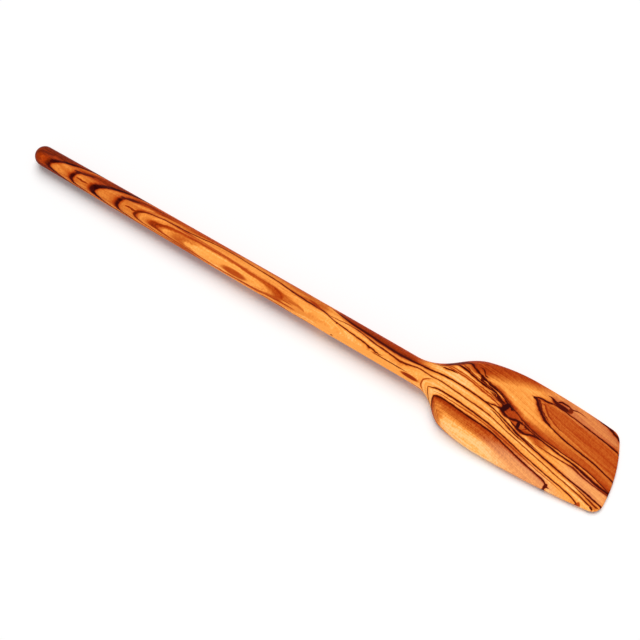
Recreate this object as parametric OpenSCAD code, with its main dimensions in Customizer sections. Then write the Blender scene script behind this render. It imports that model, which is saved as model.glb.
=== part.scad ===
// Long-handled stirring paddle, carved in one piece from a plank of olive wood.
// It lies on its flat back. X runs from the round end of the handle to the tip of the blade,
// Z points up out of the back, and the origin is under the middle of the paddle.

/* [Overall] */
// Length from the round end of the handle to the farthest point of the tip
overall_l = 500; // [400:5:650]
// Length of the head, which is the neck and the blade together
head_l = 160; // [130:5:220]

/* [Handle] */
// Diameter at the round end
end_d = 15.5; // [12:0.5:20]
// Diameter where the handle runs into the neck
neck_d = 19.2; // [16:0.2:26]
// How much fuller the middle of the handle is than a straight taper, on the diameter
swell = 0.9; // [0:0.1:2]

/* [Head outline] */
// Greatest reach of the blade to the left of the handle's centre line
left_w = 40.8; // [30:0.2:55]
// Greatest reach of the blade to the right of the handle's centre line
right_w = 29; // [24:0.2:50]
// Angle at which both sides flare out of the neck
flare_angle = 47.5; // [35:0.5:60]
// Distance of the left flare from the start of the head
left_flare = 9; // [4:0.5:20]
// Distance of the right flare from the start of the head
right_flare = 14; // [4:0.5:24]
// Softness of the hollow between handle and left flare
left_hollow = 16; // [4:0.5:20]
// Softness of the hollow between handle and right flare
right_hollow = 9.6; // [4:0.2:20]
// Softness of the left shoulder
left_shoulder = 8.4; // [2:0.2:16]
// Softness of the right shoulder
right_shoulder = 4.6; // [2:0.2:16]
// Distance from the tip back to the widest place on the left
left_widest = 82; // [60:1:110]
// Distance from the tip back to the widest place on the right
right_widest = 95; // [60:1:110]
// Radius of both sides between the shoulder and the widest place
shoulder_bow_r = 135; // [90:5:300]
// Radius of both sides between the widest place and the tip
side_bow_r = 680; // [400:10:1500]

/* [Tip] */
// Radius of the tip's edge
tip_r = 100; // [70:5:300]
// Distance of the tip's farthest point to the right of the handle's centre line
tip_skew = 13; // [-10:1:15]
// Radius of the left corner
left_corner_r = 9.5; // [4:0.5:15]
// Radius of the right corner
right_corner_r = 6; // [3:0.5:15]

/* [Thickness] */
// Thickness of the blade at the tip
tip_t = 3; // [2:0.5:6]
// Thickness of the blade where the neck's slope runs out into it
heel_t = 7; // [5:0.5:12]
// Slope of the face that is ground down from the neck
neck_slope = 12.5; // [9:0.5:20]
// Softness of the bend between the neck's slope and the blade's face
face_hollow = 4; // [1:0.5:8]
// Height of the sides' widest line above the back
edge_h = 2; // [1:0.2:3]
// How far the rounding under the sides reaches inwards
edge_in = 2.6; // [1:0.2:5]

/* [Hidden] */

end_r = end_d / 2;
neck_r = neck_d / 2;
head_x = overall_l - head_l;
blade_mid = (left_w - right_w) / 2;
// The flanks turn from a round handle's into a blade's over this stretch of the head
turn_start = -4;
turn_end = 38;
// The shoulder's bow is followed back from the widest place for this far
bow_run = 67.5;
// The blank is longer than the paddle by this much, and the tools that cut it run past by as much
spare = 6;
blank_end = overall_l + spare;
tool_end = blank_end + spare;
// Corners of a cross-section, and steps along the dome, handle, neck, blade and arcs
corners = 48;
dome_start_a = 5;
dome_steps = 7;
handle_steps = 9;
neck_l = 62;
neck_steps = 24;
blade_steps = 9;
arc_steps = 12;
face_steps = 10;
// Steps that find the centre of a corner at the tip
corner_tries = 4;

// Minimum and maximum that blend over a depth k instead of meeting in a corner
function blend_of(a, b, k) = pow(max(k - abs(a - b), 0) / k, 2) * k / 4;
function soft_min(a, b, k) = min(a, b) - blend_of(a, b, k);
function soft_max(a, b, k) = max(a, b) + blend_of(a, b, k);
function ease(u) = let (v = min(max(u, 0), 1)) v * v * (3 - 2 * v);
function mix(a, b, u) = a + (b - a) * u;

// Handle's radius at x from its end: a taper with a slight swell, then plain through the head.
// The swell is full halfway, where u * (1 - u) is a quarter.
function handle_r(x) =
    let (u = min(x / head_x, 1)) mix(end_r, neck_r, u) + swell * 2 * u * (1 - u);

// One side of the outline at x: handle, hollow, straight flare, shoulder, and bowed long side
function side(x, reach, flare, hollow, shoulder, widest) =
    let (
        r = handle_r(x),
        flare_line = r + tan(flare_angle) * (x - head_x - flare),
        off = x - (overall_l - widest),
        bow_r = off < 0 ? shoulder_bow_r : side_bow_r,
        long_side = reach - pow(max(off, -bow_run), 2) / (2 * bow_r)
    )
    soft_min(soft_max(r, flare_line, hollow), long_side, shoulder);
function left_side(x) = side(x, left_w, left_flare, left_hollow, left_shoulder, left_widest);
function right_side(x) = side(x, right_w, right_flare, right_hollow, right_shoulder, right_widest);

// Cross-section of the blank at x, shrunk about its centre by k: round in the handle, and in
// the head flat underneath, rounded below the widest line and drawn in above it. Its lowest
// edge, and not a corner, lies on the table.
function section(x, k = 1) =
    let (
        r = handle_r(x),
        turn = ease((x - head_x - turn_start) / (turn_end - turn_start)),
        widest_h = mix(r, edge_h, turn),
        left = left_side(x),
        right = right_side(x)
    )
    [for (i = [0 : corners - 1])
        let (
            a = (i + 0.5) * 360 / corners,
            reach = cos(a) > 0 ? left : right,
            under = mix(reach, edge_in, turn),
            across = sin(a) < 0 ? reach - under + under * abs(cos(a)) : reach * abs(cos(a)),
            up = sin(a) < 0 ? widest_h * sin(a) / cos(180 / corners) : (2 * r - widest_h) * sin(a)
        )
        [x, sign(cos(a)) * across * k, mix(r, widest_h + up, k)]];

// Skin over a row of cross-sections, closed at both ends
module skin(rings) {
    n = len(rings[0]);
    last = len(rings) - 1;
    walls = [for (j = [0 : last - 1], i = [0 : n - 1])
        [j * n + i, (j + 1) * n + i, (j + 1) * n + (i + 1) % n, j * n + (i + 1) % n]];
    first_cap = [for (i = [0 : n - 1]) i];
    last_cap = [for (i = [n - 1 : -1 : 0]) last * n + i];
    polyhedron([for (ring = rings) each ring], concat([first_cap], walls, [last_cap]), convexity = 4);
}

// The rounded blank before its face is ground: dome, handle, neck, and blade with spare length
module blank() {
    dome = [for (i = [0 : dome_steps - 1])
        let (a = mix(dome_start_a, 90, i / dome_steps)) section(end_r * (1 - cos(a)), sin(a))];
    handle = [for (i = [0 : handle_steps - 1])
        section(mix(end_r, head_x + turn_start, i / handle_steps))];
    neck = [for (i = [0 : neck_steps - 1])
        section(head_x + turn_start + (neck_l - turn_start) * i / neck_steps)];
    blade = [for (i = [0 : blade_steps])
        section(mix(head_x + neck_l, blank_end, i / blade_steps))];
    skin(concat(dome, handle, neck, blade));
}

// Where the neck's slope runs out into the blade's long taper
run_out = head_x + (neck_d - heel_t) / tan(neck_slope);
taper_rate = (heel_t - tip_t) / (overall_l - run_out);
// Height of the ground face at x
function face_h(x) =
    soft_max(
        neck_d - tan(neck_slope) * (x - head_x),
        tip_t + taper_rate * (overall_l - x),
        face_hollow
    );

// What is ground away above the face: two flats with a hollow between them
module above_face() {
    start = head_x - spare;
    half_hollow = face_hollow / (tan(neck_slope) - taper_rate);
    bend = [for (i = [0 : face_steps]) run_out + half_hollow * (2 * i / face_steps - 1)];
    across = left_w + right_w + 2 * spare;
    top = neck_d + 2 * spare;
    translate([0, blade_mid, 0])
        rotate([90, 0, 0])
            linear_extrude(across, center = true)
                polygon(concat(
                    [[start, top]],
                    [for (x = concat([start], bend, [tool_end])) [x, face_h(x)]],
                    [[tool_end, top]]
                ));
}

// Place along x of the tip's arc, drawn in by r, at the width y
function tip_x(r, y) = overall_l - tip_r + sqrt(pow(tip_r - r, 2) - pow(y + tip_skew, 2));
// Centre of the corner that rounds the tip's arc into a side, found by a few steps along the side
function left_corner(x, tries = corner_tries) =
    tries == 0 ? [x, left_side(x) - left_corner_r]
    : left_corner(tip_x(left_corner_r, left_side(x) - left_corner_r), tries - 1);
function right_corner(x, tries = corner_tries) =
    tries == 0 ? [x, right_corner_r - right_side(x)]
    : right_corner(tip_x(right_corner_r, right_corner_r - right_side(x)), tries - 1);
function arc(centre, r, from, to) =
    [for (i = [0 : arc_steps])
        let (a = mix(from, to, i / arc_steps)) centre + r * [cos(a), sin(a)]];

// What is sawn off round the tip: the outer side of both corners and of the arc between them
module past_tip() {
    tip_centre = [overall_l - tip_r, -tip_skew];
    left = left_corner(overall_l);
    right = right_corner(overall_l);
    left_a = atan2(left.y - tip_centre.y, left.x - tip_centre.x);
    right_a = atan2(right.y - tip_centre.y, right.x - tip_centre.x);
    outside_l = left_w + spare;
    outside_r = -right_w - spare;
    translate([0, 0, -spare])
        linear_extrude(neck_d + 2 * spare)
            polygon(concat(
                [[right.x, outside_r]],
                arc(right, right_corner_r, -90, right_a),
                arc(tip_centre, tip_r, right_a, left_a),
                arc(left, left_corner_r, left_a, 90),
                [[left.x, outside_l], [tool_end, outside_l], [tool_end, outside_r]]
            ));
}

module paddle() {
    color("peru")
        translate([-overall_l / 2, -blade_mid, 0])
            difference() {
                blank();
                above_face();
                past_tip();
            }
}

paddle();
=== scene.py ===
"""Olive-wood stirring paddle: its visible piece, its wood and a plain studio round it."""

import math

import bmesh
import bpy
from bpy.props import FloatProperty, FloatVectorProperty, IntProperty, PointerProperty, StringProperty
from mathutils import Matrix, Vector


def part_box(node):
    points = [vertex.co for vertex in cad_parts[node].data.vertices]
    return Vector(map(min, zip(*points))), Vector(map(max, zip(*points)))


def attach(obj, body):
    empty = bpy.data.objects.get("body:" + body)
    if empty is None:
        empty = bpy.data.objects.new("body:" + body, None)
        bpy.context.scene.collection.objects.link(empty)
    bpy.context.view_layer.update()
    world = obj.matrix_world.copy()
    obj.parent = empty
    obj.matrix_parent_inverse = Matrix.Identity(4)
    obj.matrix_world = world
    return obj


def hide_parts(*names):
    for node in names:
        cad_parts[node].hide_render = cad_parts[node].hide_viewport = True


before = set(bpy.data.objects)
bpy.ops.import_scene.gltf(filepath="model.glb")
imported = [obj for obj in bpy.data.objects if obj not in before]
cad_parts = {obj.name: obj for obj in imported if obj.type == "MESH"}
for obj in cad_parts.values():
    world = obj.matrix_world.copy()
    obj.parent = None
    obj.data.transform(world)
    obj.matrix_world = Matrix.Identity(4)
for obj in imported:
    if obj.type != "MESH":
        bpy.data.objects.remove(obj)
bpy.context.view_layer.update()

bl_info = {
    "name": "Olive-wood stirring paddle",
    "version": (1, 0, 0),
    "blender": (4, 5, 0),
    "location": "3D View > Sidebar > Paddle",
    "description": "Builds the carved paddle, its olive wood and the studio it lies in",
    "category": "Add Mesh",
}

MM = 0.001
LOW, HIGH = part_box("paddle")


class PaddleSizes(bpy.types.PropertyGroup):
    """The paddle's own sizes, as its solid has them, and how its rim is sanded and divided."""

    head_l: FloatProperty(
        name="Head length", description="Neck and blade together", default=160 * MM, unit="LENGTH")
    end_d: FloatProperty(
        name="End diameter", description="Handle's diameter at its round end",
        default=15.5 * MM, unit="LENGTH")
    swell: FloatProperty(
        name="Swell", description="How much fuller the handle is halfway, on the diameter",
        default=0.9 * MM, unit="LENGTH")
    left_w: FloatProperty(
        name="Left reach", description="Blade's reach to the left of the handle's centre line",
        default=40.8 * MM, unit="LENGTH")
    tip_r: FloatProperty(
        name="Tip radius", description="Radius of the tip's edge", default=100 * MM, unit="LENGTH")
    tip_skew: FloatProperty(
        name="Tip skew", default=13 * MM, unit="LENGTH",
        description="Distance of the tip's farthest point to the right of the handle's line")
    tip_t: FloatProperty(
        name="Tip thickness", description="Thickness of the blade at the tip",
        default=3 * MM, unit="LENGTH")
    heel_t: FloatProperty(
        name="Heel thickness", description="Thickness of the blade where the neck's slope runs out",
        default=7 * MM, unit="LENGTH")
    neck_slope: FloatProperty(
        name="Neck slope", description="Slope of the face that is ground down from the neck",
        default=math.radians(12.5), subtype="ANGLE")
    edge_h: FloatProperty(
        name="Edge height", description="Height of the sides' widest line above the back",
        default=2 * MM, unit="LENGTH")
    edge_in: FloatProperty(
        name="Edge rounding", description="How far the rounding under the sides reaches inwards",
        default=2.6 * MM, unit="LENGTH")
    rim_r: FloatProperty(
        name="Rim rounding", description="How far the rim of the face is sanded round",
        default=0.9 * MM, unit="LENGTH")
    quarter: IntProperty(
        name="Points a quarter", description="Points along each quarter of a cross-section",
        default=24, min=12)


# Each side of the outline, in mm: start of the flare after the start of the head, softness of
# hollow and shoulder, distance of the widest place from the tip, and radius of the tip's corner
SIDES = {
    "left": {"flare": 9, "hollow": 16, "shoulder": 8.4, "widest": 82, "corner_r": 9.5},
    "right": {"flare": 14, "hollow": 9.6, "shoulder": 4.6, "widest": 95, "corner_r": 8.5},
}
FLARE_ANGLE = math.radians(47.5)
# Radii of both sides before and after the widest place, and how far back the first one is followed
SHOULDER_BOW_R = 135 * MM
SIDE_BOW_R = 680 * MM
BOW_RUN = 67.5 * MM
# Softness of the bend where the neck's slope meets the blade's long taper
FACE_HOLLOW = 4 * MM
# The cross-section turns from a handle's into a blade's over this stretch of the head
TURN_START = -4 * MM
TURN_END = 38 * MM
# The flanks turn from round to nearly upright over this stretch, each by its own power
SQUARE_START = 16 * MM
SQUARE_END = 34 * MM
SQUARE = {"left": 1.0, "right": 0.25}
SIGNS = {"left": 1, "right": -1}
# Steps that find the centre of a corner at the tip
CORNER_TRIES = 5


def blend_of(a, b, depth):
    """What a soft minimum takes off where a and b come within depth of each other."""
    return max(depth - abs(a - b), 0) ** 2 / depth / 4


def soft_min(a, b, depth):
    return min(a, b) - blend_of(a, b, depth)


def soft_max(a, b, depth):
    return max(a, b) + blend_of(a, b, depth)


def ease(u):
    """Runs smoothly from 0 to 1 as u does."""
    v = min(max(u, 0), 1)
    return v * v * (3 - 2 * v)


def mix(a, b, u):
    return a + (b - a) * u


class Form:
    """The paddle's shape, from its sizes and the frame. x runs from the handle's end to the tip,
    y to the left of the handle's centre line, z up from the back."""

    def __init__(self, sizes):
        self.s = sizes
        self.length = HIGH.x - LOW.x
        self.neck_r = HIGH.z / 2
        self.reach = {"left": sizes.left_w, "right": HIGH.y - LOW.y - sizes.left_w}
        self.blade_mid = (self.reach["left"] - self.reach["right"]) / 2
        self.head_x = self.length - sizes.head_l
        slope = math.tan(sizes.neck_slope)
        self.run_out = self.head_x + (2 * self.neck_r - sizes.heel_t) / slope
        self.taper = (sizes.heel_t - sizes.tip_t) / (self.length - self.run_out)

    def handle_r(self, x):
        u = min(x / self.head_x, 1)
        return mix(self.s.end_d / 2, self.neck_r, u) + self.s.swell * 2 * u * (1 - u)

    def side(self, name, x):
        """How far the outline reaches to this side at x, with the tip's end still square."""
        shape = SIDES[name]
        r = self.handle_r(x)
        flare = r + math.tan(FLARE_ANGLE) * (x - self.head_x - shape["flare"] * MM)
        off = x - (self.length - shape["widest"] * MM)
        bow_r = SHOULDER_BOW_R if off < 0 else SIDE_BOW_R
        long_side = self.reach[name] - max(off, -BOW_RUN) ** 2 / (2 * bow_r)
        return soft_min(soft_max(r, flare, shape["hollow"] * MM), long_side, shape["shoulder"] * MM)

    def face_h(self, x):
        """Height of the ground face at x."""
        slope = 2 * self.neck_r - math.tan(self.s.neck_slope) * (x - self.head_x)
        return soft_max(slope, self.s.tip_t + self.taper * (self.length - x), FACE_HOLLOW)

    def tip_x(self, y, drawn_in=0.0):
        """Place of the tip's arc at the width y."""
        r = self.s.tip_r
        return self.length - r + math.sqrt((r - drawn_in) ** 2 - (y + self.s.tip_skew) ** 2)

    def corner(self, name):
        """Centre and radius of the corner at the tip, and the angle at which it meets the tip's arc."""
        r = SIDES[name]["corner_r"] * MM
        x = self.length
        for _ in range(CORNER_TRIES):
            y = SIGNS[name] * (self.side(name, x) - r)
            x = self.tip_x(y, r)
        turn = math.atan2(y + self.s.tip_skew, x - (self.length - self.s.tip_r))
        return Vector((x, y)), r, turn


def on_edge(form, name, start, u):
    """Point of the outline as u runs from 0 at x = start, along the side and round the corner, to 1."""
    sign = SIGNS[name]
    centre, r, meet = form.corner(name)
    straight = centre.x - start
    whole = sign * math.pi / 2
    length = straight + abs(whole - meet) * r
    gone = u * length
    if gone < straight:
        x = start + gone
        return Vector((x, sign * form.side(name, x)))
    a = mix(whole, meet, (gone - straight) / (length - straight))
    return centre + Vector((math.cos(a), math.sin(a))) * r


def rim_drop(form, point):
    """How far the face's rim is rounded off at a point of the blade, by its distance to the edge."""
    r = form.s.rim_r
    tip_centre = Vector((form.length - form.s.tip_r, -form.s.tip_skew))
    to_side = form.side("left" if point.y > 0 else "right", point.x) - abs(point.y)
    distance = min(to_side, form.s.tip_r - (point - tip_centre).length)
    for name, sign in SIGNS.items():
        centre, corner_r, meet = form.corner(name)
        out = point - centre
        a = sign * math.atan2(out.y, out.x)
        if sign * meet < a < math.pi / 2:
            distance = corner_r - out.length
    inside = min(max(distance, 0), r)
    return r - math.sqrt(r * r - (r - inside) ** 2)


# The last stretch of the blade, where the cross-sections bend into the tip, and how far before the
# tip the last of them takes its shape
END_ZONE = 34 * MM
END_SHAPE = 6 * MM
# The flank's points stop here on the round handle, where face and flank meet in no crease
HIDDEN_CREASE = math.radians(60)
FLANK_POINTS = 7
RIM_POINTS = 6
# Width of the rows of points along the rim: a share of the reach on the handle, and this many times
# the rim's rounding on the blade
RIM_SHARE = 0.1
RIM_SPREAD = 1.1
# Softness of the edge between flank and face
EDGE_BLEND = 0.5 * MM


def quarter(form, name, x, end):
    """The upper and lower rows of one side of the cross-section at x, from its widest point to the
    middle, each as shares of the reach and heights. end is 1 at the tip, where both rows match."""
    n = form.s.quarter
    r = form.handle_r(x)
    turn = ease((x - form.head_x - TURN_START) / (TURN_END - TURN_START))
    widest_h = mix(r, form.s.edge_h, turn)
    reach = form.side(name, x)
    rise = 2 * r - widest_h
    face = form.face_h(x)
    rim = form.s.rim_r * turn
    crease_sin = (face - rim - widest_h) / rise
    crease = math.asin(min(max(crease_sin, 0), 1))
    last = min(crease, HIDDEN_CREASE)
    square = mix(1, SQUARE[name], ease((x - form.head_x - SQUARE_START) / (SQUARE_END - SQUARE_START)))
    share = math.cos(last) ** square
    band = mix(RIM_SHARE, RIM_SPREAD * form.s.rim_r / reach, turn)
    upper = []
    for i in range(n + 1):
        if i <= FLANK_POINTS:
            a = last * i / FLANK_POINTS
            f, z = math.cos(a) ** square, widest_h + rise * math.sin(a)
        elif i <= FLANK_POINTS + RIM_POINTS:
            u = (i - FLANK_POINTS) / RIM_POINTS
            f = share - band * (1 - math.cos(u * math.pi / 2))
            z = None
        else:
            u = (i - FLANK_POINTS - RIM_POINTS) / (n - FLANK_POINTS - RIM_POINTS)
            f = (share - band) * (1 - u)
            z = None
        if z is None:
            z = soft_min(widest_h + rise * math.sqrt(max(1 - f ** (2 / square), 0)), face, EDGE_BLEND)
            z -= turn * rim_drop(form, Vector((x, SIGNS[name] * f * reach)))
        upper.append((f, min(z, face)))
    lower = []
    under = mix(reach, form.s.edge_in, turn)
    for i in range(n + 1):
        f = mix(math.cos(math.pi / 2 * i / n), upper[i][0], end)
        sunk = max(f * reach - (reach - under), 0) / under
        lower.append((f, widest_h * (1 - math.sqrt(max(1 - sunk * sunk, 0)))))
    return upper, lower


# From here outwards a point counts as the cross-section's widest
WIDEST = 0.999
# Power by which the back's rim lifts only at the very tip
LIFT = 8


def ring(form, x, scale=1.0, end=None):
    """One cross-section as a closed row of points: left side from the widest point over the top to
    the right, and back underneath. end runs from 0 to 1 over the zone of the tip."""
    start = form.length - END_ZONE
    nominal = x if end is None else mix(start, form.length - END_SHAPE, end)
    rows = {name: quarter(form, name, nominal, end or 0.0) for name in SIDES}
    if end is None:
        edges = {name: Vector((x, sign * form.side(name, x))) for name, sign in SIGNS.items()}
    else:
        edges = {name: on_edge(form, name, start, end) for name in SIDES}
    tips = {name: on_edge(form, name, start, 1.0) for name in SIDES}
    zero = edges["right"].y / (edges["right"].y - edges["left"].y)

    def place(name, f, z, top):
        s = mix(zero, 1.0 if name == "left" else 0.0, f)
        point = edges["right"].lerp(edges["left"], s)
        if end is not None:
            chord = tips["right"].lerp(tips["left"], s)
            point.x += end * end * (form.tip_x(chord.y) - chord.x)
            if top and f < WIDEST:
                flat = form.face_h(point.x)
                z = min(z * flat / form.face_h(nominal), flat - rim_drop(form, point))
            if not top:
                z = max(z, end ** LIFT * rim_drop(form, point))
        return Vector((point.x, point.y * scale, mix(form.handle_r(x), z, scale) if scale < 1 else z))

    n = form.s.quarter
    upper_l, lower_l = rows["left"]
    upper_r, lower_r = rows["right"]
    points = [place("left", *upper_l[i], True) for i in range(n + 1)]
    points += [place("right", *upper_r[i], True) for i in range(n - 1, -1, -1)]
    points += [place("right", *lower_r[i], False) for i in range(1, n + 1)]
    points += [place("left", *lower_l[i], False) for i in range(n - 1, 0, -1)]
    return points


# Cross-sections: angles on the dome, counts along the handle and the head, which meet this far
# before the head's start, and places in the zone of the tip
DOME_ANGLES = (12, 22, 32, 42, 52, 62, 72, 81)
HANDLE_RINGS = 56
HEAD_RINGS = 84
HEAD_LEAD = 6 * MM
TIP_PLACES = (0, 0.1, 0.2, 0.3, 0.4, 0.5, 0.6, 0.7, 0.78, 0.85, 0.9, 0.94, 0.965, 0.98, 0.99, 0.996, 1)


def stations(form):
    """All cross-sections from the handle's end to the tip."""
    end_r = form.s.end_d / 2
    join = form.head_x - HEAD_LEAD
    zone = form.length - END_ZONE
    for angle in DOME_ANGLES:
        a = math.radians(angle)
        yield ring(form, end_r * (1 - math.cos(a)), scale=math.sin(a))
    for i in range(HANDLE_RINGS):
        yield ring(form, mix(end_r, join, i / HANDLE_RINGS))
    for i in range(HEAD_RINGS):
        yield ring(form, mix(join, zone, i / HEAD_RINGS))
    for u in TIP_PLACES:
        yield ring(form, zone, end=u)


def extrude_to(bm, loop, points):
    """Extrudes a closed row of vertices and lays the new row on the points. Returns the new row."""
    edges = [bm.edges.get((a, b)) for a, b in zip(loop, loop[1:] + loop[:1])]
    made = bmesh.ops.extrude_edge_only(bm, edges=edges)["geom"]
    fresh = {v for v in made if isinstance(v, bmesh.types.BMVert)}
    new_loop = [next(e.other_vert(v) for e in v.link_edges if e.other_vert(v) in fresh) for v in loop]
    for vert, point in zip(new_loop, points):
        vert.co = point
    return new_loop


# Points closer than this are one point
SAME_PLACE = 0.001 * MM


def carve(form):
    """The whole paddle as one closed mesh."""
    bm = bmesh.new()
    around = 4 * form.s.quarter
    bmesh.ops.create_circle(bm, cap_ends=True, cap_tris=True, segments=around, radius=1.0)
    bm.verts.ensure_lookup_table()
    middle = max(bm.verts, key=lambda v: len(v.link_edges))
    middle.co = (0, 0, form.s.end_d / 2)
    loop = [v for v in bm.verts if v is not middle]
    loop.sort(key=lambda v: math.atan2(v.co.y, v.co.x) % (2 * math.pi))
    for k, points in enumerate(stations(form)):
        if k == 0:
            for vert, point in zip(loop, points):
                vert.co = point
        else:
            loop = extrude_to(bm, loop, points)
    middle_h = form.s.tip_t / 2
    extrude_to(bm, loop, [Vector((v.co.x, v.co.y, middle_h)) for v in loop])
    bmesh.ops.remove_doubles(bm, verts=bm.verts, dist=SAME_PLACE)
    bmesh.ops.recalc_face_normals(bm, faces=bm.faces)
    bmesh.ops.translate(bm, verts=bm.verts, vec=(LOW.x, -form.blade_mid, 0))
    return bm


def linear(hex_colour):
    """An sRGB hex colour as Blender's linear values."""
    parts = [int(hex_colour[i:i + 2], 16) / 255 for i in (1, 3, 5)]
    return [c / 12.92 if c <= 0.04045 else ((c + 0.055) / 1.055) ** 2.4 for c in parts] + [1.0]


def add(tree, kind, inputs=None, points=(), stops=(), **settings):
    """Adds a node with its settings and its curve's points or its ramp's colour stops, and sets or
    links its inputs by name or number."""
    node = tree.nodes.new(kind)
    for key, value in settings.items():
        setattr(node, key, value)
    if points:
        node.mapping.use_clip = False
        node.mapping.extend = "HORIZONTAL"
        spots = node.mapping.curves[0].points
        for _ in points[2:]:
            spots.new(0.5, 0.5)
        for spot, place in zip(spots, points):
            spot.location = place
            spot.handle_type = "AUTO_CLAMPED"
        node.mapping.update()
    if stops:
        marks = node.color_ramp.elements
        marks[0].position, marks[0].color = stops[0]
        marks[1].position, marks[1].color = stops[-1]
        for place, colour in stops[1:-1]:
            marks.new(place).color = colour
    for key, value in (inputs or {}).items():
        if isinstance(value, bpy.types.NodeSocket):
            tree.links.new(value, node.inputs[key])
        else:
            node.inputs[key].default_value = value
    return node


# The figure of the wood is drawn on its growth layers. A place in it is given in mm as x from the
# handle's end and v across the layers, which lie at 45 degrees: v is the width from the handle's
# centre line where a layer meets the top face, and grows with depth below it.

# Height of the top of the handle and of the ground face along x, where v equals the width
TOP_RUN = [(0, 15.5), (85, 17.1), (170, 18.25), (255, 18.95), (340, 19.2), (358, 15.2), (373, 11.9),
           (384, 9.7), (395, 8), (406, 6.8), (420, 6.05), (500, 3)]
# A layer under this share of the top's height shows nowhere on the round handle: (sqrt 2 - 1) / 2
LOWEST_LAYER = (math.sqrt(2) - 1) / 2
# How far the handle's arcs run on along x for each mm above the lowest layer, how far the wood
# round the start of the long ring does for each mm above the ring, and where the ring starts
ARC_RUN = 2.7
RING_RUN = 2.4
RING_START = 97.0
# How the streaks between the lines run across v
FLOW = [(0, 0), (97, -7), (120, 0), (170, 2.5), (200, 2), (230, 0.5), (265, 2), (285, -1.2), (300, -2),
        (325, -3), (335, -2.2), (345, -0.5), (355, 1.3), (380, 1.2), (400, 0), (420, -4.5), (440, -9),
        (460, -13), (480, -16.7), (500, -20.4)]

# Runs (x, v) of the growth lines that bound differently coloured wood
RING_LINE = [(95, -4), (98, -3), (101, -2.2), (105, -1.15), (110, -0.3), (115, 0.4), (120, 1),
             (130, 1.7), (140, 2.1), (150, 3.3), (160, 5.1), (170, 6.5), (180, 6.8), (190, 6.1),
             (200, 5.4), (210, 4.8), (220, 4.3), (230, 2.9), (240, 2.1), (250, 1.5), (258, 1.6),
             (266, 0), (272, -1.3), (281, -2), (301, -3.1), (310, -3.55)]
# Middle of the brown band round the handle's long eye, measured from the lowest layer
EYE_BAND = [(96, -4), (104, -2.4), (108, -0.7), (111, 0), (117, 0.4), (121, 0.95), (125, 1.45),
            (130, 1.9), (145, 2.6), (160, 3.25), (172, 3.45), (180, 3.3), (190, 2.75), (205, 2.05),
            (215, 1.5), (220, 1), (224, 0.4), (228, -0.8), (231, -2)]
BROAD_LINE = [(262, 10.5), (268, 8.8), (275, 6.5), (285, 4.6), (300, 3.5), (310, 2.6), (320, 2),
              (326, 2.2), (336, 3.2), (346, 4.5), (356, 6), (366, 6.9), (376, 7), (391, 6.2),
              (399, 5.3), (404, 4.2), (412, 1.8), (421, -1.1), (431, -3.6), (441, -6), (451, -8),
              (461, -9.6), (471, -11.3), (481, -13), (491, -14.8), (500, -16.6)]
LEAF_LINE = [(356, -12.5), (359, -10.4), (363, -9.2), (371, -8.9), (381, -9.2), (391, -9.6),
             (401, -10.3), (411, -11.6), (421, -14), (431, -16.5), (441, -18.7), (451, -20.7),
             (456, -22), (459, -24.5)]
HOOK_LINE = [(346, -4.5), (350, -6), (353.5, -6.8), (357, -5.4), (361, -4.7), (371, -4.2),
             (381, -4.6), (391, -5.2), (401, -6.1), (411, -7.6), (421, -9.5), (431, -12), (441, -14.2),
             (451, -16.2), (461, -18.3), (471, -20), (478, -21.6), (483, -23.6)]
ROPE_EDGE = [(384, 21.5), (396, 19.6), (401, 18), (406, 16), (412, 13.4), (417, 11), (422, 8.8),
             (428, 7), (434, 5.6), (441, 4.4), (451, 3.4), (461, 2.7), (471, 1.8), (481, 0.2),
             (491, -2.6), (500, -5)]
ARCH_TOP = [(421, 28.6), (424, 29.9), (428, 30.4), (434, 30.8), (441, 31), (451, 30.1), (461, 29),
            (471, 27.6), (481, 26.1), (491, 24.5), (500, 23.2)]
INNER_FOOT = [(430, 28.2), (431.5, 26), (433.5, 24), (437, 21.4), (442, 19.2), (448, 17),
              (455, 15.1), (463, 13.2), (473, 11), (483, 8.9), (492, 6.4), (500, 4.6)]
ARCH_FOOT = [(422.5, 28.7), (425, 26.4), (427, 24.2), (429.5, 22), (432, 19.9), (435, 17.9),
             (438, 16.9), (441, 15.6), (446, 14), (452, 12.6), (461, 11.1), (471, 9.6), (481, 7.9),
             (491, 5.5), (500, 3.2)]
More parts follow.
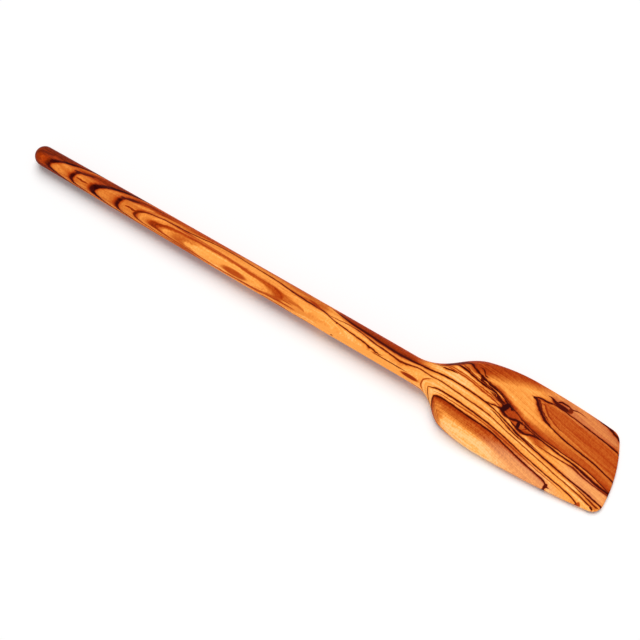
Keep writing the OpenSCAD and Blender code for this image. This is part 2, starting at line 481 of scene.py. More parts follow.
# Dark growth lines, each as its run (x, v), its half widths (x, mm) and how faint it is, 0 to 1.5
GROWTH_LINES = [
    (RING_LINE, [(122, 0.1), (134, 0.36), (160, 0.33), (200, 0.36), (225, 0.5), (250, 0.55),
                 (258, 0.4), (268, 0.3), (290, 0.28), (300, 0.22), (310, 0.06)], 0.5),
    (RING_LINE[:13], [(97, 0.5), (104, 0.36), (118, 0.4), (136, 0.4)], 0.9),
    (BROAD_LINE, [(266, 0.5), (275, 1), (285, 1.3), (326, 1.1), (338, 0.85), (350, 0.62), (366, 0.5),
                  (380, 0.6), (397, 0.5), (403, 0.4), (412, 0.5), (440, 0.65), (470, 0.6),
                  (500, 0.65)], 0),
    # Wisp that runs on from the long eye
    ([(218, -1.5), (224, -2.4), (230, -3.1), (236, -3.5), (245, -3.8)],
     [(221, 0.3), (232, 0.38), (243, 0.28)], 1.35),
    # The line that starts in the neck under the broad one
    ([(262, 1.1), (270, 1.3), (279, 2), (291, 1.5), (301, 0), (311, -1), (321, -1.8), (326, -2),
      (333, -1.3), (339, 0), (343, 0.9), (351, 0.7), (361, 1.2), (371, 1.3), (381, 0.7), (391, 0.2),
      (401, -0.8), (411, -2.8), (421, -5.2), (431, -7.4), (441, -9.5), (451, -11.5), (461, -13.6),
      (471, -15.3), (481, -17.3), (491, -20)],
     [(268, 0.16), (279, 0.22), (288, 0.35), (315, 0.4), (326, 0.4), (337, 0.42), (344, 0.35),
      (352, 0.34), (362, 0.38), (395, 0.35), (410, 0.22), (425, 0.28), (460, 0.24), (480, 0.36),
      (492, 0.4)], 0.75),
    ([(392, 6.5), (396, 7.2), (399, 7.9), (402, 8.8)], [(396, 0.5), (400, 0.4)], 0.5),
    ([(399, 3.6), (404, 2.4), (411, 0.2), (421, -2.8), (431, -5)],
     [(402, 0.3), (412, 0.4), (424, 0.35)], 0.7),
    # The double line above the leaf, which starts as a hook on the neck's ridge
    (HOOK_LINE,
     [(352, 0.05), (354.5, 0.4), (361, 0.5), (400, 0.5), (425, 0.4), (450, 0.42), (475, 0.45),
      (484, 0.5)], 0.6),
    ([(357, -8), (366, -6.7), (381, -6.6), (401, -8.1), (421, -11.6), (441, -16), (461, -20),
      (474, -22.5)],
     [(366, 0.25), (400, 0.3), (420, 0.35), (450, 0.3)], 1.2),
    (LEAF_LINE, [(358, 0.6), (370, 0.6), (410, 0.5), (450, 0.5), (459, 0.6)], 0),
    # Chevron on the neck's ridge
    ([(343, -7), (345.5, -4.9), (348, -2.7), (351, -1)], [(345, 0.4), (348, 0.3)], 1),
    # Fine lines above the broad one
    ([(346, 11.6), (352, 12.6), (361, 13.6), (371, 14), (381, 13), (391, 11.8), (401, 10), (406, 8.4)],
     [(352, 0.2), (360, 0.35), (380, 0.4), (398, 0.35), (406, 0.35)], 1),
    ([(354, 14), (361, 15.1), (371, 15.3), (381, 14.4), (391, 13.4), (401, 11.8)],
     [(362, 0.3), (385, 0.25), (401, 0.35)], 1.1),
    ([(353, 11.3), (357, 11.4), (360, 12.4), (364, 12.9)], [(357, 0.6), (361, 0.45)], 0.4),
    # The rope: a strip of torn and inked layers across the blade
    ([(362, 22.5), (366, 24.6), (370, 25), (374, 23.7), (379, 22.2), (384, 20.7), (390, 19.8),
      (395, 18.9), (400, 17.6), (405, 15.2), (409, 13.4), (413, 12.3)],
     [(360, 0.7), (366, 0.7), (372, 0.9), (380, 0.8), (388, 0.75), (400, 0.6), (407, 0.7), (411, 0.7)],
     0),
    ([(358, 19.8), (365, 19.2), (371, 18.8), (377, 17.7), (382, 17.2), (388, 16.6), (394, 16.3),
      (400, 14.2), (404, 13)],
     [(356, 0.9), (366, 0.85), (376, 0.6), (385, 0.9), (392, 0.5), (402, 0.5)], 0.3),
    ([(381, 18.9), (388, 17.9), (396, 16.3), (403, 13.6)], [(384, 0.4), (396, 0.4), (402, 0.4)], 0.4),
    ([(388, 15.4), (396, 14), (404, 11.2)], [(396, 0.35), (404, 0.45)], 0.6),
    ([(393, 15.4), (398, 14.1), (404, 12.1)], [(397, 0.3), (403, 0.35)], 0.5),
    ([(379, 27), (381, 25.6), (383, 23.2)], [(379.5, 0.4), (382, 0.6)], 0.7),
    ([(404, 8.2), (408, 6.2), (412, 5.4), (415, 6.1), (418, 7), (423, 6.7), (428, 5.5), (434, 4.3),
      (441, 2.9), (451, 1.7), (461, 0.5), (471, -0.6), (481, -2.7), (491, -4.8), (500, -5.8)],
     [(402, 0.4), (407, 1.2), (412, 0.8), (417, 0.7), (423, 0.5), (432, 0.5), (445, 0.55), (461, 0.6),
      (476, 0.9), (500, 1)], 0),
    ([(414, 4.6), (417, 3), (420, 1.9), (424, 0.7), (428, 0.8), (431, 1.9), (435, 2.9), (443, 2.6)],
     [(417, 0.6), (421, 1.1), (427, 0.8), (431, 0.8), (437, 0.5)], 0),
    (ROPE_EDGE, [(400, 0.4), (415, 0.45), (440, 0.5), (460, 0.35), (482, 0.4), (500, 0.4)], 0.8),
    # Painted shade: a dark line along the edge of the far shoulder's flank, from which the rope starts
    ([(348, 12.2), (352, 13.8), (356, 16.6), (360, 20.2), (364, 23.6), (368, 26), (372, 28.2)],
     [(351, 0.5), (356, 1.3), (361, 1.8), (366, 1.3), (371, 0.5)], 0.5),
    # Short lines between the rope and the broad line
    ([(436, -1.4), (447, -1.9), (459, -2.4), (468, -2.4), (476, -4.1), (486, -5.8), (500, -7.4)],
     [(450, 0.3), (462, 0.35), (470, 0.7), (477, 0.6), (488, 0.4), (500, 0.4)], 0.8),
    ([(426, -1.6), (434, -3.1), (441, -4.6)], [(434, 0.35)], 0.6),
    ([(475, -13), (481, -14.8), (490, -17), (496, -18.6)], [(481, 0.3), (490, 0.45), (496, 0.6)], 0.8),
    # The pointed arch by the tip, with the second point inside it
    (ARCH_TOP, [(424, 0.7), (430, 0.6), (437, 0.35), (460, 0.35), (475, 0.55), (500, 0.65)], 0.2),
    (ARCH_FOOT, [(423, 1.2), (427, 1.8), (431, 1.3), (438, 0.9), (443, 0.55), (460, 0.55),
                 (500, 0.5)], 0.35),
    ([(425, 28.6), (427, 27), (429, 24.3), (432, 21.7), (436, 19.4), (441, 17.7)],
     [(427, 0.8), (431, 0.5)], 0.8),
    (INNER_FOOT[:6], [(431, 0.5), (435, 0.5), (440, 0.3), (448, 0.2)], 1.1),
    # Lines round the knot above the arch
    ([(431, 35.2), (434, 34.1), (438, 33)], [(432, 0.5), (434, 0.8), (437, 0.7)], 0),
    ([(437, 34), (440, 35.7), (445, 35.8), (449, 34.9), (453, 36), (460, 35.4)],
     [(440, 0.6), (446, 0.45), (451, 0.3)], 0.4),
    ([(462, 39.4), (468, 38.8), (475, 37.8), (481, 36.4), (489, 34.4)],
     [(468, 0.5), (475, 0.7), (482, 1.1), (490, 1.2)], 0),
]
# How far a line tapers past its ends and how much farther its curve is held at no width, and the
# half width that counts as none, in mm. The last number is the tone in the middle of a line.
RUN_ON = 3
HELD = 9
GONE = 0.001
LINE_TONE = 0.09

# Small dark knots and blots: middle (x, v, into the wood), half sizes, turn, and tone. A depth of
# THROUGH means that a knot runs through the whole thickness.
THROUGH = 1000
KNOTS = [
    ((406.6, 10.4, 0), (2.2, 4.4, THROUGH), -24, 0.05),
    ((409.5, 12.8, 0), (3.2, 0.9, THROUGH), -20, 0.05),
    ((420.6, 4.4, 0), (1.3, 3.2, THROUGH), 12, 0.06),
    ((382.6, 19.4, 0), (1.9, 0.9, THROUGH), -30, 0.15),
    ((392, 18.9, 0), (4.4, 0.8, THROUGH), -10, 0.1),
    ((361, 25, 0), (8, 5, THROUGH), 30, 0.2),
    ((371, 20.2, 0), (8, 0.5, THROUGH), -12, 0.28),
    ((441.6, 32.4, 0), (7.4, 1.6, THROUGH), -2, 0.13),
    ((448.4, 33.2, 0), (1.8, 1.9, THROUGH), 0, 0.24),
    ((426.5, 4.2, 0), (1.8, 0.6, THROUGH), 35, 0.3),
    ((458.2, -24.6, 0), (1.2, 2.4, THROUGH), -14, 0.14),
    ((484.5, -24, 0), (1.5, 2.2, THROUGH), 20, 0.42),
    ((493.4, -21.2, 0), (1.6, 0.8, THROUGH), -20, 0.1),
    ((42.5, 0.5, 0), (5, 0.75, THROUGH), 7, 0.13),
    ((48.5, 1.9, 0), (6.5, 1.1, THROUGH), 15, 0.17),
    ((85.5, 0.7, 0), (5, 0.75, THROUGH), 8, 0.13),
    ((90, 2.1, 0), (6.5, 1.2, THROUGH), 14, 0.15),
    ((11, 1.2, 0), (7, 1, THROUGH), 6, 0.2),
    ((6, -2.2, 0), (2.5, 1, THROUGH), 25, 0.33),
    ((271.6, -1.3, 0), (1, 0.6, THROUGH), 0, 0.22),
    ((251, 3, 0), (5.6, 1.1, THROUGH), -14, 0.37),
    # On the near side of the handle only
    ((47, -3.0, 12), (5.5, 0.3, 2.5), 0, 0.3),
    ((92, -3.1, 12), (5.5, 0.3, 2.5), 0, 0.32),
    ((336.5, -3.5, 7.3), (7, 3, 2.4), 0, 0.33),
    ((319, -3.9, 10.4), (14, 3, 0.6), 0, 0.2),
    ((185.5, -3.8, 8.3), (10.5, 6, 3.5), 0, 0.47),
    ((239, -3.6, 8.3), (12, 3, 3), 0, 0.75),
    ((231, -3.6, 6.5), (8, 3, 0.7), 0, 0.4),
    ((229, -3.6, 10), (7, 3, 0.6), 0, 0.46),
]


# Noise stays mostly within these
NOISE_LOW = 0.3
NOISE_HIGH = 0.7


def wander(tree, place, grain, reach, detail=2.0):
    """A smooth random value between about -reach and reach, whose swells measure grain, in mm along
    x, across the layers and into them."""
    scaled = add(tree, "ShaderNodeVectorMath", {0: place, 1: grain}, operation="DIVIDE")
    noise = add(tree, "ShaderNodeTexNoise", {
        "Vector": scaled.outputs[0], "Scale": 1.0, "Detail": detail})
    return add(tree, "ShaderNodeMapRange", {
        "Value": noise.outputs[0], "From Min": NOISE_LOW, "From Max": NOISE_HIGH,
        "To Min": -reach, "To Max": reach}, clamp=False).outputs[0]


def above(tree, x, v, run):
    """How far v lies above a run of (x, v) places."""
    height = add(tree, "ShaderNodeFloatCurve", {"Value": x}, points=run)
    return add(tree, "ShaderNodeMath", {0: v, 1: height.outputs[0]}, operation="SUBTRACT").outputs[0]


def tint(tree, tone, other, *steps):
    """The tone turned to another one where every step is past. A step is a value with the places
    between which it comes in smoothly."""
    share = 1.0
    for value, start, full in steps:
        step = add(tree, "ShaderNodeMapRange", {0: value, 1: start, 2: full, 3: 0.0, 4: 1.0},
                   interpolation_type="SMOOTHSTEP").outputs[0]
        share = add(tree, "ShaderNodeMath", {0: share, 1: step}, operation="MULTIPLY").outputs[0]
    return add(tree, "ShaderNodeMix", {0: share, 2: tone, 3: other}).outputs[0]


def oval(tree, plan, middle, size, turn=0.0, soft=0.35):
    """A step into an oval of the plan, which comes in over the share soft on both sides of its edge."""
    inside = add(tree, "ShaderNodeMapping", {
        "Vector": plan, "Location": middle, "Rotation": (0, 0, math.radians(turn)),
        "Scale": size}, vector_type="TEXTURE")
    out = add(tree, "ShaderNodeVectorMath", {0: inside.outputs[0]}, operation="LENGTH")
    return out.outputs["Value"], 1 + soft, 1 - soft


def draw_lines(tree, x, v, tone, lines):
    """The tone with growth lines over it, each with a brown halo beside it."""
    nearest = None
    for run, half, faint in lines:
        height = above(tree, x, v, run)
        aside = add(tree, "ShaderNodeMath", {0: height}, operation="ABSOLUTE").outputs[0]
        start, end = run[0][0] - RUN_ON, run[-1][0] + RUN_ON
        ends = [(start - HELD, GONE), (start, GONE), *half, (end, GONE), (end + HELD, GONE)]
        width = add(tree, "ShaderNodeFloatCurve", {"Value": x}, points=ends).outputs[0]
        ratio = add(tree, "ShaderNodeMath", {0: aside, 1: width}, operation="DIVIDE").outputs[0]
        if faint:
            ratio = add(tree, "ShaderNodeMath", {0: ratio, 1: faint}, operation="MAXIMUM").outputs[0]
        if nearest is None:
            nearest = ratio
        else:
            nearest = add(tree, "ShaderNodeMath", {0: nearest, 1: ratio},
                          operation="MINIMUM").outputs[0]
    shade = add(tree, "ShaderNodeFloatCurve", {"Value": nearest}, points=[
        (0, 1), (0.6, 0.95), (1.0, 0.62), (1.4, 0.32), (2.2, 0.14), (4, 0)]).outputs[0]
    return add(tree, "ShaderNodeMix", {0: shade, 2: tone, 3: LINE_TONE}).outputs[0]


def handle_tone(tree, x, v, into, top, over_ring):
    """Tone of the handle: pointed arcs from its end up to the long ring, and the eye in the ring."""
    # Distance above the lowest layer, and the place along x where an arc through it would start
    low = add(tree, "ShaderNodeMath", {0: top, 1: LOWEST_LAYER, 2: v},
              operation="MULTIPLY_ADD").outputs[0]
    arcs = add(tree, "ShaderNodeMath", {0: low, 1: -ARC_RUN, 2: x}, operation="MULTIPLY_ADD").outputs[0]
    # The second and fourth arcs stand steeper where they start
    steep = add(tree, "ShaderNodeFloatCurve", {"Value": low}, points=[
        (0, 0), (3.4, 5), (4.7, 6), (8.3, 6), (12, 5)]).outputs[0]
    share = add(tree, "ShaderNodeFloatCurve", {"Value": arcs}, points=[
        (10, 0), (18, 0), (28, 0.8), (40, 0.9), (52, 0.3), (60, 0.3), (69, 1.15), (82, 1.2),
        (97, 0.6)]).outputs[0]
    arcs = add(tree, "ShaderNodeMath", {0: steep, 1: share, 2: arcs},
               operation="MULTIPLY_ADD").outputs[0]
    # Round the ring's start the order follows the ring
    along = add(tree, "ShaderNodeMath", {0: over_ring, 1: -RING_RUN, 2: RING_START},
                operation="MULTIPLY_ADD").outputs[0]
    order = tint(tree, arcs, along, (x, 97, 112))
    outer = add(tree, "ShaderNodeFloatCurve", {"Value": order}, points=[
        (-12, 0.26), (-2, 0.24), (3, 0.28), (7, 0.32), (10.5, 0.28), (13.8, 0.08), (16.7, 0.03),
        (19, 0.5), (24, 0.66), (31, 0.62), (34.5, 0.45), (36.9, 0.11), (38.3, 0.1), (40, 0.55),
        (44, 0.66), (49.5, 0.62), (52.6, 0.34), (55, 0.06), (58.6, 0.03), (60.6, 0.52), (66, 0.67),
        (73, 0.6), (76.5, 0.47), (79.2, 0.12), (80.7, 0.1), (82.4, 0.54), (86, 0.66), (90, 0.68),
        (93, 0.67), (96, 0.6), (97, 0.5)]).outputs[0]
    # Higher up the second and fourth arcs blur into red-brown wood
    blurred = add(tree, "ShaderNodeFloatCurve", {"Value": order}, points=[
        (-12, 0.26), (4, 0.27), (11, 0.28), (13.6, 0.08), (16.8, 0.04), (19, 0.44), (25, 0.56),
        (32, 0.42), (38, 0.31), (44, 0.31), (51, 0.32), (54.6, 0.06), (59, 0.04), (61.6, 0.4),
        (66, 0.53), (70, 0.54), (75, 0.44), (80, 0.3), (84, 0.32), (88, 0.42), (92, 0.66),
        (97, 0.64)]).outputs[0]
    outer = tint(tree, outer, blurred, (low, 2, 6), (into, 8, 12))
    upper = add(tree, "ShaderNodeFloatCurve", {"Value": over_ring}, points=[
        (0, 0.5), (0.8, 0.62), (2, 0.7), (3.5, 0.68), (5, 0.61), (8, 0.52), (12, 0.44)]).outputs[0]
    outer = tint(tree, outer, upper, (x, 112, 150))
    outer = tint(tree, outer, 0.45, (over_ring, 1, 3), (x, 120, 150), (x, 196, 172))

    plan = add(tree, "ShaderNodeCombineXYZ", {0: x, 1: low}).outputs[0]
    over_band = above(tree, x, low, EYE_BAND)
    inner = add(tree, "ShaderNodeFloatCurve", {"Value": over_band}, points=[
        (-3.4, 0.84), (-2.2, 0.83), (-1.5, 0.78), (-1, 0.66), (-0.5, 0.44), (0, 0.3), (0.45, 0.38),
        (0.9, 0.58), (1.4, 0.69), (2.5, 0.77)]).outputs[0]
    darkest = add(tree, "ShaderNodeFloatCurve", {"Value": x}, points=[
        (108, 0.31), (117, 0.32), (127, 0.37), (145, 0.4), (190, 0.42), (205, 0.45),
        (235, 0.47)]).outputs[0]
    inner = add(tree, "ShaderNodeMath", {0: inner, 1: darkest}, operation="MAXIMUM").outputs[0]
    inner = tint(tree, inner, 0.8, oval(tree, plan, (124, -0.1, 0), (4, 0.6, 1), 6, 0.3))
    inner = tint(tree, inner, 0.62, oval(tree, plan, (144, 0.9, 0), (9, 0.8, 1), 3, 0.5))
    inner = tint(tree, inner, 0.55, oval(tree, plan, (135, 0.1, 0), (8, 0.8, 1), 5, 0.4))
    inner = tint(tree, inner, 0.84, oval(tree, plan, (184, 0, 0), (32, 1.7, 1), -1, 0.2))
    inner = tint(tree, inner, 0.8, (x, 226, 234))
    inner = tint(tree, inner, 0.47, oval(tree, plan, (150, 4.3, 0), (30, 0.8, 1), -1, 0.5))
    return tint(tree, outer, inner, (over_ring, 0.3, -0.3), (x, 96, 101))


def blade_tone(tree, x, v, tone):
    """Tone of the neck and the blade, laid over the tone of plain light wood."""
    # Red-brown wood along the neck's upper side
    over_broad = above(tree, x, v, BROAD_LINE)
    tone = tint(tree, tone, 0.39, (over_broad, 0.2, 1.2), (x, 256, 274),
                (x, 350, 331))
    # Browner wood in the double line
    tone = tint(tree, tone, 0.62, (above(tree, x, v, HOOK_LINE), 0.2, -0.4),
                (x, 392, 412), (x, 446, 428))
    # Red-brown wood in the rope's two eyes, and beside the second one
    plan = add(tree, "ShaderNodeCombineXYZ", {0: x, 1: v}).outputs[0]
    tone = tint(tree, tone, 0.47, oval(tree, plan, (411.5, 9.8, 0), (12, 3.6, 1), -24, 0.35))
    tone = tint(tree, tone, 0.62, oval(tree, plan, (425.5, 4.4, 0), (6.5, 3, 1), -20, 0.35))
    tone = tint(tree, tone, 0.5, oval(tree, plan, (436, 1.4, 0), (11, 2.6, 1), -14, 0.7))
    # The leaf under its line: red-brown, then nearly white wood towards the edge
    under_leaf = add(tree, "ShaderNodeMath", {0: above(tree, x, v, LEAF_LINE), 1: -1.0},
                     operation="MULTIPLY").outputs[0]
    by_neck = add(tree, "ShaderNodeFloatCurve", {"Value": under_leaf}, points=[
        (0, 0.36), (1, 0.43), (4, 0.48), (6.5, 0.54), (8, 0.68), (9.5, 0.86), (12, 0.97), (15, 1)])
    by_tip = add(tree, "ShaderNodeFloatCurve", {"Value": under_leaf}, points=[
        (0, 0.45), (1, 0.58), (3, 0.68), (6, 0.78), (8, 0.76), (12, 0.84)])
    leaf = tint(tree, by_neck.outputs[0], by_tip.outputs[0], (x, 400, 440))
    tone = tint(tree, tone, leaf, (under_leaf, 0, 0.4), (x, 355, 357),
                (x, 459.5, 458))
    # Browner wood at the end of the leaf by the neck
    tone = tint(tree, tone, 0.66, oval(tree, plan, (366, -18.5, 0), (6, 4, 1), -40, 0.6))
    # The pale middle is a little deeper in colour than the neck
    over_rope = above(tree, x, v, ROPE_EDGE)
    tone = tint(tree, tone, 0.82, (over_rope, 3, 7), (x, 388, 404))
    # Red-brown shoulder that fades into the pale middle
    over_pale = above(tree, x, v, [(352, 17), (366, 21.5), (376, 20.5), (383, 20.8), (388, 23.6),
                                   (396, 26), (404, 29), (414, 32.5), (430, 37.5), (440, 42)])
    shoulder = add(tree, "ShaderNodeFloatCurve", {"Value": over_pale}, points=[
        (-2, 0.82), (1, 0.69), (4, 0.5), (8, 0.4), (14, 0.38)]).outputs[0]
    tone = tint(tree, tone, shoulder, (over_pale, -2, 0.5), (x, 352, 360),
                (x, 462, 412))
    # Warm band over the rope, which widens towards the tip
    spread = add(tree, "ShaderNodeFloatCurve", {"Value": x}, points=[
        (390, 0.4), (425, 0.6), (440, 1), (500, 1.3)]).outputs[0]
    over_rope = add(tree, "ShaderNodeMath", {0: over_rope, 1: spread}, operation="DIVIDE").outputs[0]
    band = add(tree, "ShaderNodeFloatCurve", {"Value": over_rope}, points=[
        (0, 0.46), (3, 0.49), (4.5, 0.58), (6, 0.69), (8, 0.76), (11, 0.84)]).outputs[0]
    tone = tint(tree, tone, band, (over_rope, -0.4, 0.4), (over_rope, 12, 9),
                (x, 384, 398))
    # Inside and above the pointed arch
    over_top = above(tree, x, v, ARCH_TOP)
    over_foot = above(tree, x, v, ARCH_FOOT)
    under_top = add(tree, "ShaderNodeMath", {0: over_top, 1: -1.0}, operation="MULTIPLY").outputs[0]
    tone = tint(tree, tone, 0.67, (over_foot, -0.4, 0.4), (under_top, -0.4, 0.4), (x, 420, 423))
    fill = add(tree, "ShaderNodeFloatCurve", {"Value": x}, points=[
        (430, 0.53), (460, 0.5), (500, 0.46)]).outputs[0]
    tone = tint(tree, tone, fill, (above(tree, x, v, INNER_FOOT), -0.2, 1),
                (under_top, 0.9, 2.2), (x, 429, 432))
    tone = tint(tree, tone, 0.62, (over_top, -0.2, 0.8), (x, 424, 444))
    # Duller wood by the near corner of the tip
    tone = tint(tree, tone, 0.76, oval(tree, plan, (490, -9, 0), (18, 4, 1), -9, 0.4))
    return tint(tree, tone, 0.72, oval(tree, plan, (491, -17.6, 0), (12, 2.4, 1), -14, 0.4))


def olive_wood(wood):
    """Olive wood, planed, sanded and oiled: amber wood with red-brown and nearly black growth lines,
    which keep their warm depth under a satin skin that shows no sharp highlight."""
    material = bpy.data.materials.new("olive_wood_sanded_and_oiled")
    material.use_nodes = True
    tree = material.node_tree
    tree.nodes.clear()

    # Places in mm from the handle's end and its centre line
    place = add(tree, "ShaderNodeTexCoord").outputs["Object"]
    place = add(tree, "ShaderNodeMapping", {
        "Vector": place, "Location": (-LOW.x / MM, wood.centre / MM, 0),
        "Scale": (1 / MM, 1 / MM, 1 / MM)}).outputs[0]
    parts = add(tree, "ShaderNodeSeparateXYZ", {0: place}).outputs
    x = parts["X"]
    top = add(tree, "ShaderNodeFloatCurve", {"Value": x}, points=TOP_RUN).outputs[0]
    depth = add(tree, "ShaderNodeMath", {0: top, 1: parts["Z"]}, operation="SUBTRACT").outputs[0]
    v = add(tree, "ShaderNodeMath", {0: parts["Y"], 1: depth}, operation="ADD").outputs[0]
    into = add(tree, "ShaderNodeMath", {0: parts["Y"], 1: parts["Z"]}, operation="ADD").outputs[0]

    # On the near side of the handle the layers curve up again, as far as the long eye goes
    aside = add(tree, "ShaderNodeMath", {0: top, 1: 0.5}, operation="MULTIPLY").outputs[0]
    aside = add(tree, "ShaderNodeMath", {0: aside, 1: into}, operation="SUBTRACT").outputs[0]
    aside = add(tree, "ShaderNodeMath", {0: aside, 1: 0.0}, operation="MAXIMUM").outputs[0]
    bend = add(tree, "ShaderNodeFloatCurve", {"Value": x}, points=[
        (0, 0.09), (140, 0.09), (176, 0.02), (206, 0.02), (216, 0.08), (226, 0.05), (236, 0)])
    aside_2 = add(tree, "ShaderNodeMath", {0: aside, 1: aside}, operation="MULTIPLY").outputs[0]
    v = add(tree, "ShaderNodeMath", {0: aside_2, 1: bend.outputs[0], 2: v},
            operation="MULTIPLY_ADD").outputs[0]

    # Layers waver gently, and are torn in the rope
    layers = add(tree, "ShaderNodeCombineXYZ", {0: x, 1: v, 2: into}).outputs[0]
    torn = tint(tree, 1.0, 2.6, oval(tree, layers, (402, 13.5, 0), (36, 8, THROUGH), -21, 0.4))
    torn = tint(tree, torn, 2.4, oval(tree, layers, (432, 25, 0), (16, 8, THROUGH), -35, 0.5))
    tear = wander(tree, layers, (4, 1.6, 30), 0.18)
    waver = wander(tree, layers, (20, 6, 30), 0.25)
    v = add(tree, "ShaderNodeMath", {0: v, 1: waver}, operation="ADD").outputs[0]
    v = add(tree, "ShaderNodeMath", {0: tear, 1: torn, 2: v}, operation="MULTIPLY_ADD").outputs[0]

    # Plain light wood, the handle's arcs and eye, and the blade's bands
    over_ring = above(tree, x, v, RING_LINE)
    tone = handle_tone(tree, x, v, into, top, over_ring)
    tone = tint(tree, tone, 0.86, (x, 226, 244), (over_ring, 0.6, -0.2))
    tone = tint(tree, tone, 0.62, (x, 236, 250), (over_ring, -0.2, 0.6))
    tone = tint(tree, tone, 0.88, (x, 256, 266))
    tone = tint(tree, tone, 0.94, (x, 346, 362), (x, 388, 372))
    # Darker, red-brown colour on the far side, deep in the layers, from the handle's second arc to the
    # neck
    tone = tint(tree, tone, 0.39, (v, 12.5, 17), (x, 40, 80), (x, 364, 354))
    tone = blade_tone(tree, x, v, tone)

    # Streaks along the grain, 2.4 mm and 0.55 mm wide, and flecks that cross them
    streamed = above(tree, x, v, FLOW)
    grain = add(tree, "ShaderNodeCombineXYZ", {0: x, 1: streamed, 2: into}).outputs[0]
    broad = wander(tree, grain, (60, 2.4, 40), 0.07)
    fine = wander(tree, grain, (34, 0.55, 30), 0.065)
    tone = add(tree, "ShaderNodeMath", {0: tone, 1: broad}, operation="ADD").outputs[0]
    tone = add(tree, "ShaderNodeMath", {0: tone, 1: fine}, operation="ADD").outputs[0]
    flecks = wander(tree, grain, (1.1, 3, 3), 0.035, detail=1.0)
    flecked = tint(tree, 1.0, 1.7, oval(tree, layers, (408, -18, 0), (54, 10, THROUGH), -5, 0.3))
    tone = add(tree, "ShaderNodeMath", {0: flecks, 1: flecked, 2: tone},
               operation="MULTIPLY_ADD").outputs[0]

    # Growth lines and knots
    tone = draw_lines(tree, x, v, tone, GROWTH_LINES)
    # Plain wood under the lines on the near side, where the handle ends
    tone = tint(tree, tone, 0.86, (into, 9.6, 8.6), (v, 8, 4), (x, 254, 262), (x, 344, 337))
    layers = add(tree, "ShaderNodeCombineXYZ", {0: x, 1: v, 2: into}).outputs[0]
    for middle, size, turn, dark in KNOTS:
        tone = tint(tree, tone, dark, oval(tree, layers, middle, size, turn, 0.3))

    # Short fibres and pores. Real ones are under 0.1 mm wide, drawn 0.25 mm wide so that they show.
    fibre = wander(tree, grain, (6, 0.25, 0.5), 0.03, detail=1.0)
    tone = add(tree, "ShaderNodeMath", {0: tone, 1: fibre}, operation="ADD").outputs[0]
    colour = add(tree, "ShaderNodeValToRGB", {0: tone}, stops=[
        (0.05, linear(wood.ink)), (0.13, linear(wood.burnt)), (0.29, linear(wood.walnut)),
        (0.385, linear(wood.russet)), (0.45, linear(wood.rust)), (0.58, linear(wood.copper)),
        (0.655, linear(wood.orange)), (0.77, linear(wood.honey)), (0.88, linear(wood.amber)),
        (0.95, linear(wood.straw)), (1.0, linear(wood.cream))]).outputs[0]
    # Paler, greyer wood in the leaf's end, above the arch and by the near corner
    faded = tint(tree, 0.0, 0.24, oval(tree, layers, (440, -25, 0), (34, 8, THROUGH), -8, 0.4))
    faded = tint(tree, faded, 0.13, oval(tree, layers, (468, 33.5, 0), (38, 6, THROUGH), -6, 0.4))
    faded = tint(tree, faded, 0.2, oval(tree, layers, (484, -9, 0), (22, 5, THROUGH), -9, 0.4))
    faded = tint(tree, 0.0, faded, (tone, 0.35, 0.6))
    colour = add(tree, "ShaderNodeMix", {0: faded, 6: colour, 7: linear(wood.bleached)},
                 data_type="RGBA").outputs[2]
    # A thin oil film on sanded wood: half rough, with next to no gloss
    rough = add(tree, "ShaderNodeMath", {0: fibre, 1: 0.46}, operation="ADD")
    # The fibres stand about 0.01 mm proud, drawn a little stronger so that they show
    relief = add(tree, "ShaderNodeBump", {
        "Height": fibre, "Strength": 0.6, "Distance": 0.5 * MM})
    skin = add(tree, "ShaderNodeBsdfPrincipled", {
        "Base Color": colour,
        "Roughness": rough.outputs[0],
        "Normal": relief.outputs[0],
        "Specular IOR Level": 0.03,
    })
    out = add(tree, "ShaderNodeOutputMaterial")
    tree.links.new(skin.outputs["BSDF"], out.inputs["Surface"])
    return material


class PaddleWood(bpy.types.PropertyGroup):
    """The wood's colours, from its darkest line to its palest wood, and where its grain is centred."""

    ink: StringProperty(name="Ink", description="Middle of the darkest growth lines", default="#2C0000")
    burnt: StringProperty(name="Burnt", description="Dark lines and knots", default="#4A0700")
    walnut: StringProperty(name="Walnut", description="Brown beside the lines", default="#822702")
    russet: StringProperty(name="Russet", description="Red-brown bands", default="#A43506")
    rust: StringProperty(name="Rust", description="Warm brown bands", default="#B3430B")
    copper: StringProperty(
        name="Copper", description="Middle brown of the arch and the leaf", default="#C96320")
    orange: StringProperty(name="Orange", description="Orange wood between the arcs", default="#D6742A")
    honey: StringProperty(name="Honey", description="Light wood with fine streaks", default="#EF8F3B")
    amber: StringProperty(name="Amber", description="Plain light wood", default="#FEA74D")
    straw: StringProperty(name="Straw", description="Pale wood in the leaf", default="#FEBD6F")
    cream: StringProperty(name="Cream", description="Palest wood by the edge", default="#FFC683")
    bleached: StringProperty(
        name="Bleached", description="What paler, greyer wood is mixed with", default="#E0B090")
    centre: FloatProperty(
        name="Centre line", default=5.9 * MM, unit="LENGTH",
        description="Distance of the handle's centre line from the middle of the paddle")


class StudioLook(bpy.types.PropertyGroup):
    """The floor, the light and the camera."""

    camera_place: FloatVectorProperty(
        name="Camera", description="Where the camera stands",
        default=(0.1523, -0.2445, 0.8586), unit="LENGTH")
    camera_target: FloatVectorProperty(
        name="Target", description="What the camera looks at",
        default=(0.0067, -0.0065, 0), unit="LENGTH")
    camera_lens: FloatProperty(name="Lens", description="Focal length in mm", default=68.2)
    sun: FloatProperty(name="Sun", description="Strength of the soft key light", default=2.5)
    fill: FloatProperty(
        name="Fill", description="Strength of the low light from the near side", default=2.2)
    sky: FloatProperty(
        name="Sky", description="Strength of the even light from all round", default=0.22)
    floor: StringProperty(name="Floor", description="Colour of the paper floor", default="#FDFDFD")
    floor_size: FloatProperty(
        name="Floor size", description="Half the floor's width", default=4.0, unit="LENGTH")
    glow: FloatProperty(
        name="Floor glow", description="What the floor gains where it is seen directly", default=0.12)


